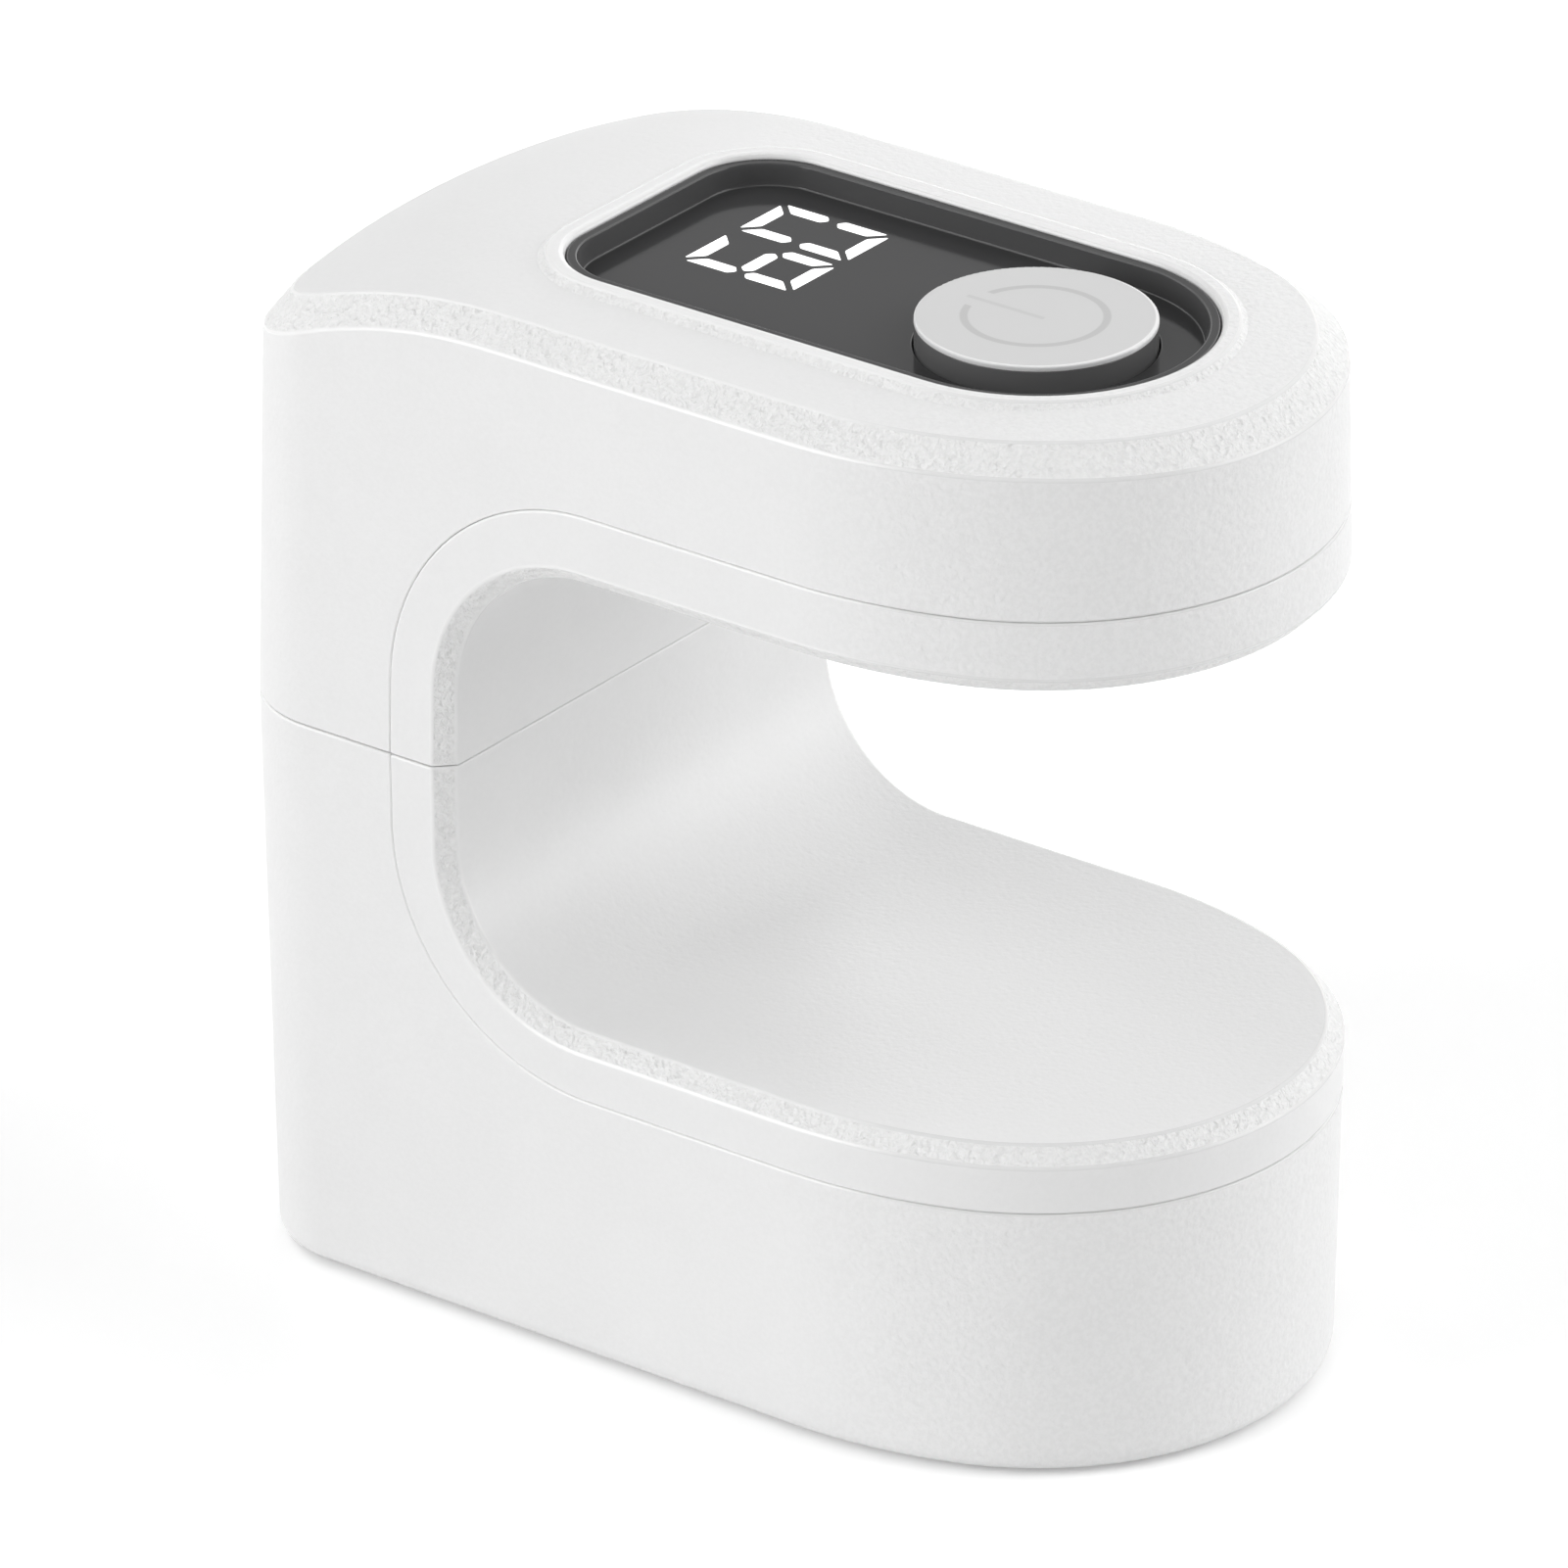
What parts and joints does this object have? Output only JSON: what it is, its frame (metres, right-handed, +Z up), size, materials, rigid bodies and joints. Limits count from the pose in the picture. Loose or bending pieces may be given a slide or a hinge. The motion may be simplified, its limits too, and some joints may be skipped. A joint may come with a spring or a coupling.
{
  "type": "portable nail lamp",
  "caption": "Small cordless ultraviolet nail lamp: a C-shaped housing open to the front and sides, with a light unit in the head, a display window and a push button on top.",
  "frame": {"origin": "on the ground under the middle of the housing, in the plane of symmetry", "axes": "+Z up from the feet to the head; the mouth and the rounded nose face -Y, the column and the charging socket are at +Y; X runs across, and the housing is symmetric about X = 0"},
  "size_m": [0.05, 0.085, 0.0862],
  "materials": {
    "shell_plastic": "fine spark texture",
    "liner_plastic": "fine spark texture",
    "window_plastic": "polished",
    "gasket_foam": "matt",
    "button_plastic": "satin",
    "skirt_plastic": "polished",
    "switch_black": "moulded",
    "display_black": "moulded",
    "board_green": "solder mask",
    "screw_steel": "zinc plated",
    "connector_white": "moulded",
    "board_aluminium": "white solder mask",
    "led_lens_yellow": "clear dome on ceramic",
    "reflector_bright": "bright metallised plastic",
    "lens_clear": "polished",
    "foot_rubber": "matt",
    "cell_wrap": "shrink wrap",
    "strap_plastic": "moulded",
    "lead_red": "insulated lead",
    "port_steel": "satin",
    "port_black": "moulded"
  },
  "bodies": {
    "housing": {"upper_shell": "shell_plastic", "lower_shell": "shell_plastic", "upper_liner": "liner_plastic", "lower_liner": "liner_plastic", "display_window": "window_plastic", "window_gasket": "gasket_foam", "tact_switch": "switch_black", "display_module": "display_black", "control_board": "board_green", "control_board_screws": "screw_steel", "board_link": "connector_white", "led_board": "board_aluminium", "led_board_screws": "screw_steel", "uv_leds": "led_lens_yellow", "reflector": "reflector_bright", "led_lens": "lens_clear", "head_screws": "screw_steel", "column_screws": "screw_steel", "base_screws": "screw_steel", "rubber_feet": "foot_rubber", "battery_cell": "cell_wrap", "battery_strap": "strap_plastic", "battery_strap_screws": "screw_steel", "battery_leads": "lead_red", "charge_board": "board_green", "charge_board_screws": "screw_steel", "usb_port": "port_steel", "usb_tongue": "port_black", "power_leads": "lead_red"},
    "button": {"button_cap": "button_plastic", "button_skirt": "skirt_plastic"},
    "plunger": {"switch_plunger": "switch_black"}
  },
  "joints": [
    {"name": "button_press", "type": "slide", "parent": "housing", "child": "button", "axis": [0, 0, -1], "range_m": [0, 0.0005], "stiffness_N_per_m": 2000, "springref_m": -0.0005},
    {"name": "plunger_press", "type": "slide", "parent": "housing", "child": "plunger", "axis": [0, 0, -1], "range_m": [0, 0.0005]}
  ],
  "couplings": [
    {"joint": "plunger_press", "follows": "button_press", "ratio": 1}
  ]
}
